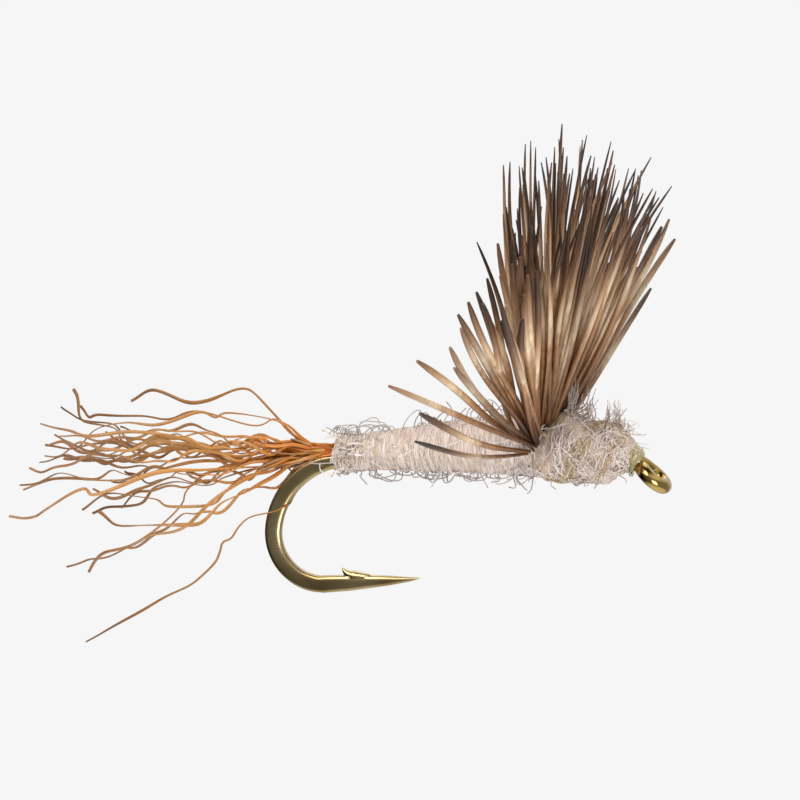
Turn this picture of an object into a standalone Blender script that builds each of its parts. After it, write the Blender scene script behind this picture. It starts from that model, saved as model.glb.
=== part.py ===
"""A dry fly: a trailing tail of crinkled fibres, a dubbed body and an upright fan of deer hair,
all bound with tying thread to a forged hook with a turned-down ring eye.

+X runs forward along the shank, +Z is up, and the origin is the centre of the hook's eye.
"""

import math

import bmesh
import bpy
from mathutils import Matrix, Vector

MM = 0.001

# Hook: one bent wire. The bend is a wide arc above and a tighter arc below, in the plane Y = 0.
WIRE_RADIUS = 0.205 * MM
EYE_WIRE_RADIUS = 0.19 * MM
EYE_RING_RADIUS = 0.43 * MM
EYE_SLIT = 0.04 * MM
EYE_SLIT_ANGLE = math.radians(52)
EYE_DROP = math.radians(42)
EYE_TWIST = math.radians(7)
SHANK_HEIGHT = 0.37 * MM
BEND_START_X = -8.60 * MM
UPPER_BEND_RADIUS = 2.22 * MM
LOWER_BEND_RADIUS = 1.41 * MM
BEND_CHANGE = math.radians(172)
BEND_WIRE_RADIUS = 0.245 * MM
FORGED_HALF_THICKNESS = 0.165 * MM
SPEAR = (
    (-8.66, -3.10, 0.22),
    (-8.2, -3.06, 0.19),
    (-7.5, -3.01, 0.135),
    (-6.9, -2.965, 0.062),
    (-6.62, -2.925, 0.012),
)
BARB = (
    (-8.84, -2.68),
    (-8.65, -2.97),
    (-8.3, -3.03),
    (-8.0, -2.98),
    (-8.1, -2.86),
    (-8.37, -2.82),
    (-8.6, -2.77),
)
BARB_HALF_WIDTH = 0.09 * MM
WIRE_SIDES = 16

# Thread: one strand, wound in four places.
THREAD_RADIUS = 0.025 * MM
THREAD_GAP = 0.006 * MM
POINTS_PER_TURN = 12
BASE_LAYER_RADIUS = 0.25 * MM

# Stations along the shank, from the rear to the eye.
BODY_REAR_X = -8.97 * MM
TAIL_TIE_REAR_X = -8.85 * MM
TAIL_TIE_FRONT_X = -8.25 * MM
TAIL_BUTT_X = -7.5 * MM
BASE_REAR_X = -7.4 * MM
HAIR_BUTT_X = -5.9 * MM
WING_TIE_REAR_X = -4.35 * MM
WING_TIE_FRONT_X = -3.66 * MM
WING_X = -3.02 * MM
DAM_REAR_X = -2.86 * MM
DAM_FRONT_X = -2.45 * MM
HEAD_REAR_X = -0.66 * MM

# Tail: crinkled fibres that leave the top of the shank and spread backwards. A tip is x, z and the rise of
# the fibre's middle above a straight line to it.
TAIL_RADIUS = 0.036 * MM
TAIL_TIED_RADIUS = 0.026 * MM
TAIL_ROWS = ((0.236, 7, 52), (0.294, 7, 47), (0.352, 6, 38))
TAIL_HALF_WIDTH = 1.5
TAIL_TIPS = (
    (-16.59, -3.07, 0.25),
    (-16.52, -2.66, 0.4),
    (-15.90, -1.19, -0.75),
    (-18.28, -1.23, 0),
    (-17.59, -1.28, 0.1),
    (-16.53, -1.42, -0.1),
    (-16.16, -1.10, 0.1),
    (-18.22, -0.65, 0.1),
    (-16.24, -0.77, -0.2),
    (-17.22, -0.27, -0.3),
    (-17.59, 0.03, 0.2),
    (-17.79, 0.14, -0.1),
    (-17.70, 0.37, 0.2),
    (-17.19, 0.57, 0),
    (-17.30, 0.76, 0.3),
    (-17.22, 1.44, 0),
    (-16.76, 1.69, 0.2),
    (-17.19, 1.72, -0.2),
    (-16.42, 2.37, -0.4),
    (-15.24, 1.84, 0.9),
)
STRAY_FIBRE = (
    (-8.85, -0.27, 0.57),
    (-9.25, -0.36, 0.42),
    (-9.77, -0.36, 0.0),
    (-10.3, -0.32, -0.7),
    (-10.72, -0.36, -1.09),
    (-11.35, -0.5, -1.23),
    (-11.95, -0.6, -1.82),
    (-12.32, -0.6, -2.47),
    (-13.15, -0.5, -3.18),
    (-14.56, -0.4, -3.92),
    (-16.3, -0.3, -4.9),
)

# Wing: deer hairs that lie along the shank by their butts and fan out upright from one place.
HAIR_TIED_RADIUS = 0.045 * MM
HAIR_FULL_RADIUS = 0.098 * MM
HAIR_TIP_RADIUS = 0.016 * MM
HAIR_LENGTH = 8.9 * MM
HAIR_TURN_ROOM = 0.4 * MM
HAIR_STEP_BACK = 0.1 * MM
# Each row: distance from the shank's axis, hairs, half the angle they lie in, half the angle they fan, lean.
HAIR_ROWS = (
    (0.300, 7, 64, 76, 26),
    (0.395, 7, 54, 70, 17),
    (0.490, 6, 42, 58, 8),
    (0.585, 4, 26, 36, 0),
    (0.680, 2, 8, 11, -8),
)
FAN_HALF_ANGLE = 76
SIDE_SWEEP = 46
GOLDEN_ANGLE = math.pi * (3 - math.sqrt(5))

PARTS = bpy.data.collections.new("dry_fly")
CUTTERS = bpy.data.collections.new("cutters")


def in_mm(*stations):
    return [tuple(value * MM for value in station) for station in stations]


def ease(share):
    """0 below 0, 1 above 1 and a smooth rise between."""
    share = min(max(share, 0), 1)
    return share * share * (3 - 2 * share)


def clear_scene():
    for obj in list(bpy.data.objects):
        bpy.data.objects.remove(obj)
    for collection in (PARTS, CUTTERS):
        bpy.context.scene.collection.children.link(collection)


def finish_of(name, colour, roughness, metallic=0.0):
    """A material with one Principled BSDF."""
    made = bpy.data.materials.new(name)
    made.use_nodes = True
    shader = made.node_tree.nodes["Principled BSDF"]
    shader.inputs["Base Color"].default_value = (*colour, 1)
    shader.inputs["Roughness"].default_value = roughness
    shader.inputs["Metallic"].default_value = metallic
    return made


def place(obj, material=None, helper=False):
    """Puts an object in its collection. A helper is a cutter or a body that a Boolean joins on."""
    (CUTTERS if helper else PARTS).objects.link(obj)
    obj.hide_render = helper
    if helper:
        obj.display_type = "WIRE"
    if material:
        obj.data.materials.append(material)
    return obj


def strand(name, points, radii, sides, material=None, helper=False):
    """A curve object along the points, as thick at each point as the radii say."""
    curve = bpy.data.curves.new(name, "CURVE")
    curve.dimensions = "3D"
    curve.bevel_depth = max(radii)
    curve.bevel_resolution = (sides - 4) // 2
    curve.use_fill_caps = True
    spline = curve.splines.new("POLY")
    spline.points.add(len(points) - 1)
    for point, place_at, radius in zip(spline.points, points, radii):
        point.co = (*place_at, 1)
        point.radius = radius / max(radii)
    return place(bpy.data.objects.new(name, curve), material, helper)


def as_mesh(obj, material=None, helper=False):
    """The mesh of a curve object, with its caps welded, in place of the curve."""
    graph = bpy.context.evaluated_depsgraph_get()
    mesh = bpy.data.meshes.new_from_object(obj.evaluated_get(graph))
    name = obj.name
    bpy.data.objects.remove(obj)
    edit = bmesh.new()
    edit.from_mesh(mesh)
    bmesh.ops.remove_doubles(edit, verts=edit.verts, dist=0.001 * MM)
    edit.to_mesh(mesh)
    edit.free()
    mesh.materials.clear()
    mesh.shade_smooth()
    mesh.set_sharp_from_angle(angle=math.radians(40))
    return place(bpy.data.objects.new(name, mesh), material, helper)


def boolean(obj, other, operation):
    modifier = obj.modifiers.new(other.name, "BOOLEAN")
    modifier.object = other
    modifier.operation = operation


def smooth_path(knots, steps):
    """Points on a Catmull-Rom curve through the knots, with so many steps between two knots."""
    ends = [2 * knots[0] - knots[1], *knots, 2 * knots[-1] - knots[-2]]
    points = []
    for a, b, c, d in zip(ends, ends[1:], ends[2:], ends[3:]):
        for step in range(steps):
            t = step / steps
            points.append(
                0.5
                * (
                    2 * b
                    + (c - a) * t
                    + (2 * a - 5 * b + 4 * c - d) * t**2
                    + (3 * b - a - 3 * c + d) * t**3
                )
            )
    return [*points, knots[-1]]


def between(x, stations):
    """The value at x of a line through (x, value, value...) stations, smoothed from one to the next."""
    for low, high in zip(stations, stations[1:]):
        if x <= high[0]:
            t = ease((x - low[0]) / (high[0] - low[0]))
            return [a + (b - a) * t for a, b in zip(low[1:], high[1:])]
    return list(stations[-1][1:])


def hook_centreline():
    """(point, radius) pairs from inside the eye's ring back along the shank, round the bend to the point."""
    neck_end = eye_frame() @ Vector((-EYE_RING_RADIUS, 0, 0))
    wire = [
        (neck_end, EYE_WIRE_RADIUS),
        (Vector((-0.42 * MM, 0, SHANK_HEIGHT - 0.015 * MM)), WIRE_RADIUS),
        (Vector((-0.53 * MM, 0, SHANK_HEIGHT)), WIRE_RADIUS),
    ]
    upper = Vector((BEND_START_X, 0, SHANK_HEIGHT - UPPER_BEND_RADIUS))
    steps = 11
    for step in range(steps):
        turn = step / steps
        angle = math.radians(90) + (BEND_CHANGE - math.radians(90)) * turn
        way = Vector((math.cos(angle), 0, math.sin(angle)))
        swell = ease(turn / 0.35)
        radius = WIRE_RADIUS + (BEND_WIRE_RADIUS - WIRE_RADIUS) * swell
        wire.append((upper + UPPER_BEND_RADIUS * way, radius))
    offset = Vector((math.cos(BEND_CHANGE), 0, math.sin(BEND_CHANGE)))
    lower = upper + (UPPER_BEND_RADIUS - LOWER_BEND_RADIUS) * offset
    for step in range(steps + 1):
        angle = BEND_CHANGE + (math.radians(268) - BEND_CHANGE) * step / steps
        way = Vector((math.cos(angle), 0, math.sin(angle)))
        wire.append((lower + LOWER_BEND_RADIUS * way, BEND_WIRE_RADIUS))
    for x, z, radius in in_mm(*SPEAR):
        wire.append((Vector((x, 0, z)), radius))
    return wire


def eye_frame():
    """Turns the eye's ring from flat to its drop and twist: its +X becomes the way the neck runs."""
    return Matrix.Rotation(EYE_DROP, 4, "Y") @ Matrix.Rotation(EYE_TWIST, 4, "X")


def forge(mesh):
    """Presses the sides of the bend and the spear to two parallel flats, fading in from the round shank."""
    fade_length = 0.9 * MM
    for vertex in mesh.vertices:
        depth = ease((BEND_START_X - vertex.co.x) / fade_length)
        if vertex.co.z < SHANK_HEIGHT - UPPER_BEND_RADIUS:
            depth = 1
        limit = WIRE_RADIUS + (FORGED_HALF_THICKNESS - WIRE_RADIUS) * depth
        vertex.co.y = min(max(vertex.co.y, -limit), limit)


def make_hook(material):
    wire = hook_centreline()
    hook = strand("hook", [p for p, _ in wire], [r for _, r in wire], WIRE_SIDES)
    hook = as_mesh(hook, material)
    forge(hook.data)
    boolean(hook, eye_ring("eye_ring", EYE_WIRE_RADIUS), "UNION")
    bpy.ops.mesh.primitive_cube_add(size=1)
    slit = bpy.context.object
    slit.name = "eye_slit"
    slit.data.transform(Matrix.Diagonal((3 * EYE_WIRE_RADIUS, EYE_SLIT, 3 * EYE_WIRE_RADIUS, 1)))
    slit.data.transform(Matrix.Rotation(-EYE_SLIT_ANGLE, 4, "Z"))
    slit.data.transform(Matrix.Translation((-0.86 * EYE_RING_RADIUS, -0.62 * EYE_RING_RADIUS, 0)))
    slit.data.transform(eye_frame())
    move_to_helpers(slit)
    boolean(hook, slit, "DIFFERENCE")
    make_barb(hook)


def eye_ring(name, wire_radius):
    """The ring that the wire's end is bent into."""
    bpy.ops.mesh.primitive_torus_add(
        major_radius=EYE_RING_RADIUS,
        minor_radius=wire_radius,
        major_segments=24,
        minor_segments=12,
    )
    ring = bpy.context.object
    ring.name = name
    ring.data.transform(eye_frame())
    move_to_helpers(ring)
    return ring


def make_barb(hook):
    """The sliver that is cut up and back from the top of the spear, narrow at its tip."""
    outline = [Vector((x, 0, z)) for x, z in in_mm(*BARB)]
    edit = bmesh.new()
    face = edit.faces.new([edit.verts.new(point) for point in outline])
    raised = bmesh.ops.extrude_face_region(edit, geom=[face])
    for item in raised["geom"]:
        if isinstance(item, bmesh.types.BMVert):
            item.co.y += BARB_HALF_WIDTH
    root_z, tip_z = outline[2].z, outline[0].z
    for vertex in edit.verts:
        share = (vertex.co.z - root_z) / (tip_z - root_z)
        side = 1 if vertex.co.y > 0 else -1
        vertex.co.y = side * BARB_HALF_WIDTH * (1 - 0.75 * min(max(share, 0), 1))
    bmesh.ops.recalc_face_normals(edit, faces=edit.faces)
    mesh = bpy.data.meshes.new("barb")
    edit.to_mesh(mesh)
    edit.free()
    barb = place(bpy.data.objects.new("barb", mesh), helper=True)
    boolean(hook, barb, "UNION")


def move_to_helpers(obj):
    for collection in list(obj.users_collection):
        collection.objects.unlink(obj)
    place(obj, helper=True)


def winding(name, start_x, end_x, stations, material):
    """Thread wound side by side round the shank. A station is x, the loop's centre height and its radius."""
    turns = abs(end_x - start_x) / (2 * THREAD_RADIUS + THREAD_GAP)
    count = round(turns * POINTS_PER_TURN)
    points = []
    for step in range(count + 1):
        share = step / count
        x = start_x + (end_x - start_x) * share
        height, radius = between(x, stations)
        angle = 2 * math.pi * turns * share
        points.append(Vector((x, radius * math.sin(angle), height + radius * math.cos(angle))))
    strand(name, points, [THREAD_RADIUS] * len(points), 4, material)


def sleeve(name, outer, inner, sides, rings, material):
    """A ring of material round the shank. outer and inner list (x, centre height, radius) stations."""
    skins = []
    for stations, count, past in ((outer, rings, 0), (inner, 14, 0.3 * MM)):
        start_x, end_x = outer[0][0] - past, outer[-1][0] + past
        points, radii = [], []
        for step in range(count + 1):
            x = start_x + (end_x - start_x) * step / count
            height, radius = between(x, stations)
            points.append(Vector((x, 0, height)))
            radii.append(radius)
        helper = stations is inner
        label = name + "_bore" if helper else name
        skins.append(as_mesh(strand(label, points, radii, sides), None if helper else material, helper))
    boolean(skins[0], skins[1], "DIFFERENCE")


def ridged(stations, turns, depth):
    """The stations with the ridges of a wound rope between them."""
    start_x, end_x = stations[0][0], stations[-1][0]
    made = []
    for step in range(2 * turns + 1):
        x = start_x + (end_x - start_x) * step / (2 * turns)
        height, radius = between(x, stations)
        made.append((x, height, radius - depth * (1 - step % 2)))
    return made


def make_thread(material):
    shank = SHANK_HEIGHT / MM
    layer = in_mm((BASE_REAR_X / MM, shank, 0.25), (DAM_REAR_X / MM - 0.1, shank, 0.25))
    bore = in_mm((-9, shank, 0.209), (-1, shank, 0.209))
    sleeve("thread_base_layer", layer, bore, 16, 1, material)
    tail_tie = in_mm((-9, 0.456, 0.325), (-8, 0.456, 0.325))
    winding("tail_thread_wraps", TAIL_TIE_REAR_X, TAIL_TIE_FRONT_X, tail_tie, material)
    wing_tie = in_mm((-4.6, 0.61, 0.525), (-3.6, 0.61, 0.525))
    winding("wing_thread_wraps", WING_TIE_REAR_X, WING_TIE_FRONT_X, wing_tie, material)
    dam = in_mm((-2.86, 0.45, 0.40), (-2.45, shank, 0.236))
    winding("wing_thread_dam", DAM_REAR_X, DAM_FRONT_X, dam, material)


def make_head(material):
    """The thread head: turns heaped over the bend in the wire, up against the back of the eye's ring."""
    back = eye_frame() @ Vector((-EYE_RING_RADIUS - 0.08 * MM, 0, 0))
    line = smooth_path(
        [
            Vector((HEAD_REAR_X, 0, 0.42 * MM)),
            Vector((-0.52 * MM, 0, 0.42 * MM)),
            back,
        ],
        7,
    )
    radii = []
    for step, _ in enumerate(line):
        share = step / (len(line) - 1)
        radii.append((0.31 + 0.12 * math.sin(math.pi * min(share / 0.9, 1)) + 0.025 * (step % 2)) * MM)
    head = as_mesh(strand("head_thread_wraps", line, radii, 20), material)
    wire = [Vector((x, 0, SHANK_HEIGHT)) for x in (-1 * MM, -0.53 * MM)]
    wire.append(Vector((-0.42 * MM, 0, SHANK_HEIGHT - 0.015 * MM)))
    wire.append(eye_frame() @ Vector((-EYE_RING_RADIUS, 0, 0)))
    bore = as_mesh(strand("head_bore", wire, [0.225 * MM] * len(wire), 16), helper=True)
    boolean(head, bore, "DIFFERENCE")
    boolean(head, eye_ring("head_ring_relief", EYE_WIRE_RADIUS + 0.02 * MM), "DIFFERENCE")


def make_dubbing(material):
    """Dubbing spun on the thread and wound as a rope, so that its turns ridge the body."""
    abdomen = in_mm(
        (-8.97, 0.53, 0.46),
        (-7.74, 0.63, 0.545),
        (-6.62, 0.70, 0.635),
        (-5.48, 0.78, 0.735),
        (-4.5, 0.83, 0.83),
        (-4.1, 0.83, 0.82),
        (-3.5, 0.72, 0.64),
    )
    bore = in_mm(
        (-9.4, 0.456, 0.36),
        (-7.9, 0.456, 0.36),
        (-7.0, 0.45, 0.36),
        (-6.3, 0.61, 0.50),
        (-4.9, 0.61, 0.50),
        (-4.6, 0.61, 0.565),
        (-3.2, 0.61, 0.565),
    )
    sleeve("abdomen_dubbing", ridged(abdomen, 22, 0.03 * MM), bore, 20, 44, material)
    thorax = in_mm(
        (-2.80, 0.70, 0.66),
        (-2.5, 0.80, 0.92),
        (-1.96, 0.74, 0.83),
        (-1.4, 0.62, 0.80),
        (-1.0, 0.66, 0.76),
        (-0.69, 0.58, 0.52),
    )
    bore = in_mm(
        (-3.1, 0.45, 0.44),
        (-2.75, 0.45, 0.44),
        (-2.3, 0.37, 0.275),
        (-0.3, 0.37, 0.25),
    )
    sleeve("thorax_dubbing", ridged(thorax, 9, 0.05 * MM), bore, 20, 18, material)


def slots(rows):
    """(distance from the shank's axis, angle from straight up) of each strand tied on the shank, by rows."""
    made = []
    for distance, count, spread in rows:
        for place_in_row in range(count):
            share = 2 * place_in_row / (count - 1) - 1
            made.append((distance * MM, math.radians(spread) * share))
    return made


def on_shank(x, slot):
    distance, angle = slot
    return Vector((x, distance * math.sin(angle), SHANK_HEIGHT + distance * math.cos(angle)))


def tail_path(number, slot):
    """A crinkled fibre: straight under the thread, then away backwards in waves that grow from the root."""
    tip_x, tip_z, bow = TAIL_TIPS[number]
    tip = Vector((tip_x, TAIL_HALF_WIDTH * math.sin(GOLDEN_ANGLE * number + 1.1), tip_z)) * MM
    root = on_shank(BODY_REAR_X - 0.1 * MM, slot)
    points = [on_shank(x, slot) for x in (TAIL_BUTT_X, TAIL_TIE_FRONT_X, TAIL_TIE_REAR_X)]
    steps = 15
    for step in range(steps + 1):
        share = step / steps
        grow = ease(share / 0.3)
        turns = 3.4 + 0.5 * math.sin(number)
        wave = 0.13 * grow * math.sin(2 * math.pi * turns * share + 2.4 * number)
        swing = 0.15 * grow * math.cos(2 * math.pi * turns * share + 1.7 * number)
        point = root.lerp(tip, share)
        point.y += swing * MM
        point.z += (wave + (0.12 + bow) * math.sin(math.pi * share)) * MM
        points.append(point)
    return points


def make_tail(material):
    for number, slot in enumerate(slots(TAIL_ROWS)):
        points = tail_path(number, slot)
        radii = [TAIL_TIED_RADIUS] * 4 + [TAIL_RADIUS] * (len(points) - 4)
        strand(f"tail_fibre_{number + 1:02d}", points, radii, 6, material)
    knots = in_mm(*STRAY_FIBRE)
    points = smooth_path([Vector(knot) for knot in knots], 2)
    strand("stray_tail_fibre", points, [TAIL_TIED_RADIUS] * len(points), 6, material)


def hair_path(number, slot, fan, lean):
    """A hair: its butt along the shank, the turn at the wing's place, and its free part."""
    row_step = HAIR_STEP_BACK * (slot[0] / MM - HAIR_ROWS[0][0]) / 0.095
    side = abs(fan) / FAN_HALF_ANGLE
    fan = math.radians(fan + 3 * math.sin(5.1 * number))
    lean = math.radians(lean - SIDE_SWEEP * side**1.5 + 3 * math.sin(3.3 * number))
    way = Vector((math.sin(lean), math.sin(fan) * math.cos(lean), math.cos(fan) * math.cos(lean)))
    length = HAIR_LENGTH * (1 - 0.25 * side) * (1 + 0.05 * math.sin(3.7 * number))
    corner = on_shank(WING_X - row_step, slot)
    knots = [
        on_shank(HAIR_BUTT_X + 0.2 * MM * math.sin(2.3 * number), slot),
        on_shank(WING_TIE_REAR_X, slot),
        on_shank(WING_TIE_FRONT_X + 0.25 * (HAIR_TURN_ROOM - row_step), slot),
        corner + 0.1 * MM * (way - Vector((1, 0, 0))),
        corner + 0.5 * MM * way,
    ]
    for share in (0.25, 0.45, 0.7, 1.0):
        bow = Vector((0.2 * MM, 0, 0)) * math.sin(math.pi * share) * math.sin(1.9 * number)
        knots.append(corner + length * share * way + bow)
    return smooth_path(knots, 2)


def hair_radii(count):
    """Thin where it is tied down, fullest a third of the way up its free part, and fine at the tip."""
    tied = 7
    radii = []
    for step in range(count):
        share = max((step - tied) / (count - 1 - tied), 0)
        if share < 0.4:
            radii.append(HAIR_TIED_RADIUS + (HAIR_FULL_RADIUS - HAIR_TIED_RADIUS) * ease(share / 0.4))
        else:
            taper = ((share - 0.4) / 0.6) ** 1.4
            radii.append(HAIR_FULL_RADIUS + (HAIR_TIP_RADIUS - HAIR_FULL_RADIUS) * taper)
    return radii


def make_wing(material):
    number = 0
    for distance, count, spread, fan, lean in HAIR_ROWS:
        for place_in_row in range(count):
            share = 2 * place_in_row / (count - 1) - 1
            slot = (distance * MM, math.radians(spread) * share)
            points = hair_path(number, slot, fan * share, lean)
            number += 1
            strand(f"wing_hair_{number:02d}", points, hair_radii(len(points)), 6, material)


clear_scene()
make_hook(finish_of("bronze", (0.24, 0.18, 0.09), 0.25, 1.0))
thread = finish_of("pale_olive_thread", (0.62, 0.58, 0.40), 0.6)
make_thread(thread)
make_head(thread)
make_dubbing(finish_of("cream_dubbing", (0.72, 0.60, 0.52), 0.95))
make_tail(finish_of("amber_fibre", (0.60, 0.30, 0.08), 0.35))
make_wing(finish_of("deer_hair", (0.42, 0.28, 0.17), 0.5))
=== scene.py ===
"""A dry fly, made in the order in which a tier dresses the hook: wire, thread, tail, body, wing, head."""

import math

import bpy
import numpy as np
from mathutils import Matrix, Vector


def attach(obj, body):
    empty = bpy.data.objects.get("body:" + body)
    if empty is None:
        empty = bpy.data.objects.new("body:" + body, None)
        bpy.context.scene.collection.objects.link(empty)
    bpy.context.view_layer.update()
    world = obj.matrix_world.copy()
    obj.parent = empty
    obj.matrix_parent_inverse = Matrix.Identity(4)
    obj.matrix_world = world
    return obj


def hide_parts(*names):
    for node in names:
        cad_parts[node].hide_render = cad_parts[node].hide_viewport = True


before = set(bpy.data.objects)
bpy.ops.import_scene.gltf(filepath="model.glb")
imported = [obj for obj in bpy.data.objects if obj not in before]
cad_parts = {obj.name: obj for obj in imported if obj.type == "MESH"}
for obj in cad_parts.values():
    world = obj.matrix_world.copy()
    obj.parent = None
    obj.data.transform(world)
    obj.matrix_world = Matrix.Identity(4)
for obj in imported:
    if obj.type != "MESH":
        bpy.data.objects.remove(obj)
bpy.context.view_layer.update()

# -----------------------------------------------------------------------------
# Hook. One length of high-carbon steel wire, bronzed. Its end is turned round into the ring of the eye and
# cut off against the neck, the bend is forged to two flats, and the barb is a sliver raised from the spear.
# -----------------------------------------------------------------------------
MM = 0.001
SHANK_Z = 0.37
EYE_DROP = math.radians(42)
EYE_TWIST = math.radians(1)
EYE_RADIUS = 0.40
# The ring's wire leaves the neck at the first angle and closes against it at the second, in degrees.
RING_OPENS, RING_CLOSES = -58, -333
# Radii of the wire, and the run over which it swells behind the shank.
WIRE = 0.205
BEND_WIRE = 0.245
SWELL_RUN = 1.2
# The two arcs of the bend: x and z of the middle, and radius.
UPPER_BEND = (-8.60, -1.85, 2.22)
LOWER_BEND = (-9.40, -1.74, 1.41)
# The spear's middle line from the point backwards.
SPEAR = ((-6.62, 0, -2.925), (-6.9, 0, -2.965), (-7.5, 0, -3.01), (-8.2, 0, -3.06), (-8.66, 0, -3.10))
# The spear narrows to its point: place along it and radius.
SPEAR_TAPER = np.array(
    [
        (-9.45, 0.245),
        (-8.66, 0.225),
        (-8.2, 0.195),
        (-7.5, 0.138),
        (-6.9, 0.063),
        (-6.66, 0.022),
        (-6.62, 0.006),
    ]
)
SPEAR_BELOW = -2.5
# The flats fade in over a short run as the bend begins, and are full below it.
FLATS_START = UPPER_BEND[0] + 0.2
FLATS_RUN = 1.1
FLATS_FULL_BELOW = -1.5
FLAT_HALF = 0.165
ROUND_HALF = 0.3
# How hard the shoulder of a flat is, and how far the flat stands out to meet it.
SHOULDER = 2.4
FULLNESS = 1.12
# The barb's middle line from its foot to its free end, then its radius at each place along it.
BARB = ((-7.7, 0, -2.98), (-8.15, 0, -2.945), (-8.52, 0, -2.905), (-8.72, 0, -2.825), (-8.85, 0, -2.67))
BARB_TAPER = np.array(
    [(-8.85, 0.006), (-8.8, 0.05), (-8.72, 0.10), (-8.52, 0.16), (-8.15, 0.13), (-7.7, 0.05)]
)


def straight_strand(name, sides, cuts):
    """A closed cylinder of radius 1 that stands on the origin, 1 high, with its side cut into rings."""
    bpy.ops.object.select_all(action="DESELECT")
    bpy.ops.mesh.primitive_cylinder_add(
        vertices=sides, radius=1, depth=1, location=(0, 0, 0.5), calc_uvs=False
    )
    strand = bpy.context.object
    strand.name = name
    bpy.ops.object.transform_apply(location=True, rotation=True, scale=True)
    for count in cuts:
        bpy.ops.object.mode_set(mode="EDIT")
        bpy.ops.mesh.select_mode(type="EDGE")
        bpy.ops.mesh.select_all(action="DESELECT")
        bpy.ops.object.mode_set(mode="OBJECT")
        points = strand.data.vertices
        for edge in strand.data.edges:
            low, high = (points[index].co.z for index in edge.vertices)
            edge.select = abs(high - low) > 0.001
        bpy.ops.object.mode_set(mode="EDIT")
        bpy.ops.mesh.subdivide(number_cuts=count)
        bpy.ops.object.mode_set(mode="OBJECT")
    bpy.ops.object.shade_smooth_by_angle(angle=math.radians(50))
    return strand


def points_of(obj):
    found = np.empty(len(obj.data.vertices) * 3)
    obj.data.vertices.foreach_get("co", found)
    return found.reshape(-1, 3)


def ring_count(obj):
    return len(np.unique(np.round(points_of(obj)[:, 2], 4)))


def smooth_line(knots, steps=10):
    """Points on a smooth curve through the knots."""
    knots = np.asarray(knots, float)
    ends = np.vstack([2 * knots[0] - knots[1], knots, 2 * knots[-1] - knots[-2]])
    share = np.arange(steps)[:, None] / steps
    made = []
    for a, b, c, d in zip(ends, ends[1:], ends[2:], ends[3:]):
        cubic = 3 * b - a - 3 * c + d
        square = 2 * a - 5 * b + 4 * c - d
        made.append(0.5 * (2 * b + (c - a) * share + square * share**2 + cubic * share**3))
    return np.vstack([*made, knots[-1:]])


def even_steps(line, count):
    """The line again, as so many points evenly spaced along it."""
    line = np.asarray(line, float)
    run = np.concatenate([[0], np.cumsum(np.linalg.norm(np.diff(line, axis=0), axis=1))])
    places = np.linspace(0, run[-1], count)
    return np.stack([np.interp(places, run, line[:, axis]) for axis in range(3)], axis=1)


def ways_across(line):
    """Two directions across the line at each point of it, carried along without turning about it."""
    along = np.gradient(line, axis=0)
    along /= np.linalg.norm(along, axis=1)[:, None]
    across = np.empty_like(along)
    last = np.array([0.0, 1.0, 0.0])
    if abs(last @ along[0]) > 0.9:
        last = np.array([1.0, 0.0, 0.0])
    for step, way in enumerate(along):
        last = last - (last @ way) * way
        last = last / np.linalg.norm(last)
        across[step] = last
    return across, np.cross(along, across)


def laid_points(unit, line, radii, flat=1.0, twist=0.0, turn=0.0):
    """The strand's points in metres, carried onto a line in millimetres. flat thins it and twist turns it."""
    count = len(line)
    ring = np.rint(unit[:, 2] * (count - 1)).astype(int)
    across, up = ways_across(line)
    radii = np.broadcast_to(radii, count)
    angle = turn + twist * np.arange(count) / (count - 1)
    wide = unit[:, 0] * radii[ring]
    thick = unit[:, 1] * radii[ring] * flat
    cos, sin = np.cos(angle)[ring], np.sin(angle)[ring]
    offset = (wide * cos - thick * sin)[:, None] * across[ring]
    offset += (wide * sin + thick * cos)[:, None] * up[ring]
    return (line[ring] + offset) * MM


def own_mesh(strand, name, points):
    """A copy of the strand with its own mesh, at these points in metres."""
    made = strand.copy()
    made.data = strand.data.copy()
    made.name = made.data.name = name
    bpy.context.scene.collection.objects.link(made)
    made.data.vertices.foreach_set("co", np.asarray(points, np.float32).ravel())
    made.data.update()
    return made


def apply_all(obj):
    bpy.ops.object.select_all(action="DESELECT")
    bpy.context.view_layer.objects.active = obj
    obj.select_set(True)
    for modifier in list(obj.modifiers):
        bpy.ops.object.modifier_apply(modifier=modifier.name)


def eye_plane(forward, side):
    """A point given in the plane of the eye's ring."""
    turn = Matrix.Rotation(EYE_DROP, 3, "Y") @ Matrix.Rotation(EYE_TWIST, 3, "X")
    return np.array(turn @ Vector((forward, side, 0.0)))


def arc_points(arc, start, end, steps):
    """Points on an arc of the bend, from one angle to the other, in degrees."""
    x, z, radius = arc
    angles = np.radians(np.linspace(start, end, steps))
    return np.stack([x + radius * np.cos(angles), 0 * angles, z + radius * np.sin(angles)], axis=1)


wire_strand = straight_strand("wire_strand", 48, (20, 11))
ring_angles = np.radians(np.linspace(RING_OPENS, RING_CLOSES, 40))
ring = np.array([eye_plane(-EYE_RADIUS * math.cos(a), -EYE_RADIUS * math.sin(a)) for a in ring_angles])
neck = np.vstack([(-0.95, 0, SHANK_Z), (-0.68, 0, SHANK_Z - 0.01), eye_plane(-0.56, 0.12)])
hook_line = np.vstack(
    [
        smooth_line(SPEAR, 6)[:-1],
        arc_points(LOWER_BEND, start=268, end=172, steps=30),
        arc_points(UPPER_BEND, start=170, end=90, steps=26),
        [(x, 0, SHANK_Z) for x in (-8.2, -7, -5, -3, -1.5)],
        smooth_line(np.vstack([neck, ring[:2]]), 6)[:-2],
        ring,
    ]
)
hook_line = even_steps(hook_line, ring_count(wire_strand))
x, z = hook_line[:, 0], hook_line[:, 2]
hook_radii = WIRE + (BEND_WIRE - WIRE) * np.clip((UPPER_BEND[0] - x) / SWELL_RUN, 0, 1)
on_spear = (z < SPEAR_BELOW) & (x > SPEAR_TAPER[0, 0])
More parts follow.
